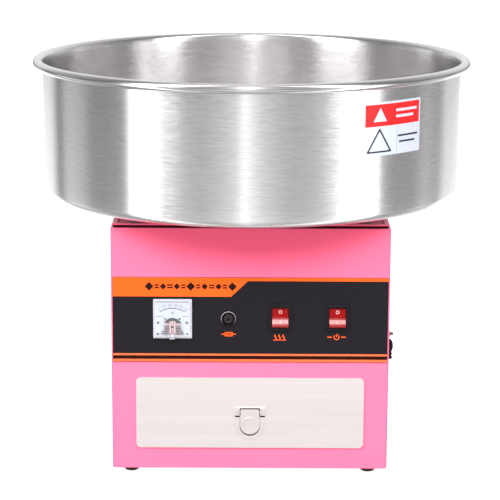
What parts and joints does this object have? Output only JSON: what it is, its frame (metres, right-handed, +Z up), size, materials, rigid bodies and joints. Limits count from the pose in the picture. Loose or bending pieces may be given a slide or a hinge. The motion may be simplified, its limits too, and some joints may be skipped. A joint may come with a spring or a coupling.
{
  "type": "cotton candy machine",
  "caption": "Counter-top cotton candy machine: sheet-metal box with control panel and sugar drawer, spinner head on a vertical motor, and a wide lift-off steel bowl.",
  "frame": {"origin": "on the surface the feet stand on, under the spinner axis", "axes": "+Z up along the spinner axis; the control panel and drawer face -Y; +X is to the right as seen from the front"},
  "size_m": [0.52, 0.52, 0.4709],
  "materials": {
    "pink_paint": "smooth powder coat, satin gloss",
    "brushed_steel": "brushed stainless steel",
    "bright_steel": "bright machined or plated steel",
    "zinc_steel": "zinc plated sheet",
    "overlay_black": "satin black printed film",
    "overlay_orange": "orange print",
    "black_plastic": "moulded black plastic",
    "red_plastic": "glossy translucent red plastic",
    "meter_white": "white printed dial plate",
    "clear_plastic": "clear moulded window",
    "rubber": "black moulded rubber",
    "dark_iron": "dark painted iron",
    "copper_winding": "enamelled copper windings, stood for by one solid ring",
    "brass": "turned brass",
    "aluminium": "turned aluminium",
    "cream_plastic": "cream insulating plastic",
    "carbon": "pressed carbon or blackened sheet",
    "sticker": "printed film sticker"
  },
  "bodies": {
    "base": {"casing": "pink_paint", "rear_cover": "pink_paint", "top_cover": "pink_paint", "base_pan": "zinc_steel", "drawer_bay": "zinc_steel", "motor_bridge": "zinc_steel", "runner_left": "bright_steel", "runner_right": "bright_steel", "bowl_clip_front_left": "bright_steel", "bowl_clip_front_right": "bright_steel", "bowl_clip_rear_left": "bright_steel", "bowl_clip_rear_right": "bright_steel", "foot_front_left": "rubber", "foot_front_right": "rubber", "foot_rear_left": "rubber", "foot_rear_right": "rubber", "overlay_panel": "overlay_black", "overlay_band": "overlay_orange", "overlay_stripes": "overlay_orange", "meter_body": "black_plastic", "meter_dial": "meter_white", "meter_yoke": "carbon", "meter_window": "clear_plastic", "fuse_holder": "black_plastic", "switch_heat_body": "black_plastic", "switch_power_body": "black_plastic", "cord_gland": "black_plastic", "earth_stud": "bright_steel", "terminal_block": "cream_plastic", "motor_housing": "dark_iron", "motor_stator": "copper_winding", "motor_end_cap": "dark_iron", "bearing_upper": "bright_steel", "bearing_lower": "bright_steel", "brush_holder": "cream_plastic", "brush_lower": "carbon", "brush_upper": "carbon"},
    "drawer": {"drawer_tray": "zinc_steel", "drawer_front": "brushed_steel", "pull_base": "brushed_steel"},
    "drawer_pull": {"pull_flap": "brushed_steel"},
    "bowl": {"bowl": "brushed_steel", "bowl_sticker": "sticker"},
    "spinner": {"rotor_shaft": "bright_steel", "motor_rotor": "dark_iron", "cooling_fan": "black_plastic", "slip_ring_sleeve": "cream_plastic", "slip_ring_lower": "brass", "slip_ring_upper": "brass", "head_dish": "aluminium", "head_nut": "bright_steel", "heater_ring": "dark_iron", "head_band": "brushed_steel", "head_cover": "aluminium"},
    "heat_rocker": {"switch_heat_rocker": "red_plastic"},
    "power_rocker": {"switch_power_rocker": "red_plastic"},
    "needle": {"meter_needle": "carbon"},
    "zero_screw": {"meter_zero_screw": "black_plastic"},
    "fuse_carrier": {"fuse_cartridge": "brass"},
    "fuse_cap": {"fuse_cap": "black_plastic"}
  },
  "joints": [
    {"name": "spinner_turn", "type": "hinge", "parent": "base", "child": "spinner", "pos_m": [0, 0, 0.3], "axis": [0, 0, 1], "continuous": true},
    {"name": "bowl_lift", "type": "slide", "parent": "base", "child": "bowl", "axis": [0, 0, 1], "range_m": [0, 0.12]},
    {"name": "drawer_slide", "type": "slide", "parent": "base", "child": "drawer", "axis": [0, -1, 0], "range_m": [0, 0.2]},
    {"name": "pull_flip", "type": "hinge", "parent": "drawer", "child": "drawer_pull", "pos_m": [0, -0.1636, 0.0768], "axis": [-1, 0, 0], "range_deg": [0, 80]},
    {"name": "heat_switch", "type": "hinge", "parent": "base", "child": "heat_rocker", "pos_m": [0.0343, -0.161, 0.18995], "axis": [1, 0, 0], "range_deg": [0, 20]},
    {"name": "power_switch", "type": "hinge", "parent": "base", "child": "power_rocker", "pos_m": [0.09985, -0.161, 0.18995], "axis": [1, 0, 0], "range_deg": [0, 20]},
    {"name": "meter_needle_swing", "type": "hinge", "parent": "base", "child": "needle", "pos_m": [-0.089, -0.167, 0.1742], "axis": [0, 1, 0], "range_deg": [0, 63], "stiffness_Nm_per_rad": 0.0001},
    {"name": "meter_zero_turn", "type": "hinge", "parent": "base", "child": "zero_screw", "pos_m": [-0.089, -0.169, 0.1696], "axis": [0, 1, 0], "range_deg": [-25, 25]},
    {"name": "fuse_pull", "type": "slide", "parent": "base", "child": "fuse_carrier", "axis": [0, -1, 0], "range_m": [0, 0.045]},
    {"name": "fuse_cap_twist", "type": "hinge", "parent": "fuse_carrier", "child": "fuse_cap", "pos_m": [-0.0251, -0.1625, 0.1885], "axis": [0, -1, 0], "range_deg": [-90, 0]}
  ]
}
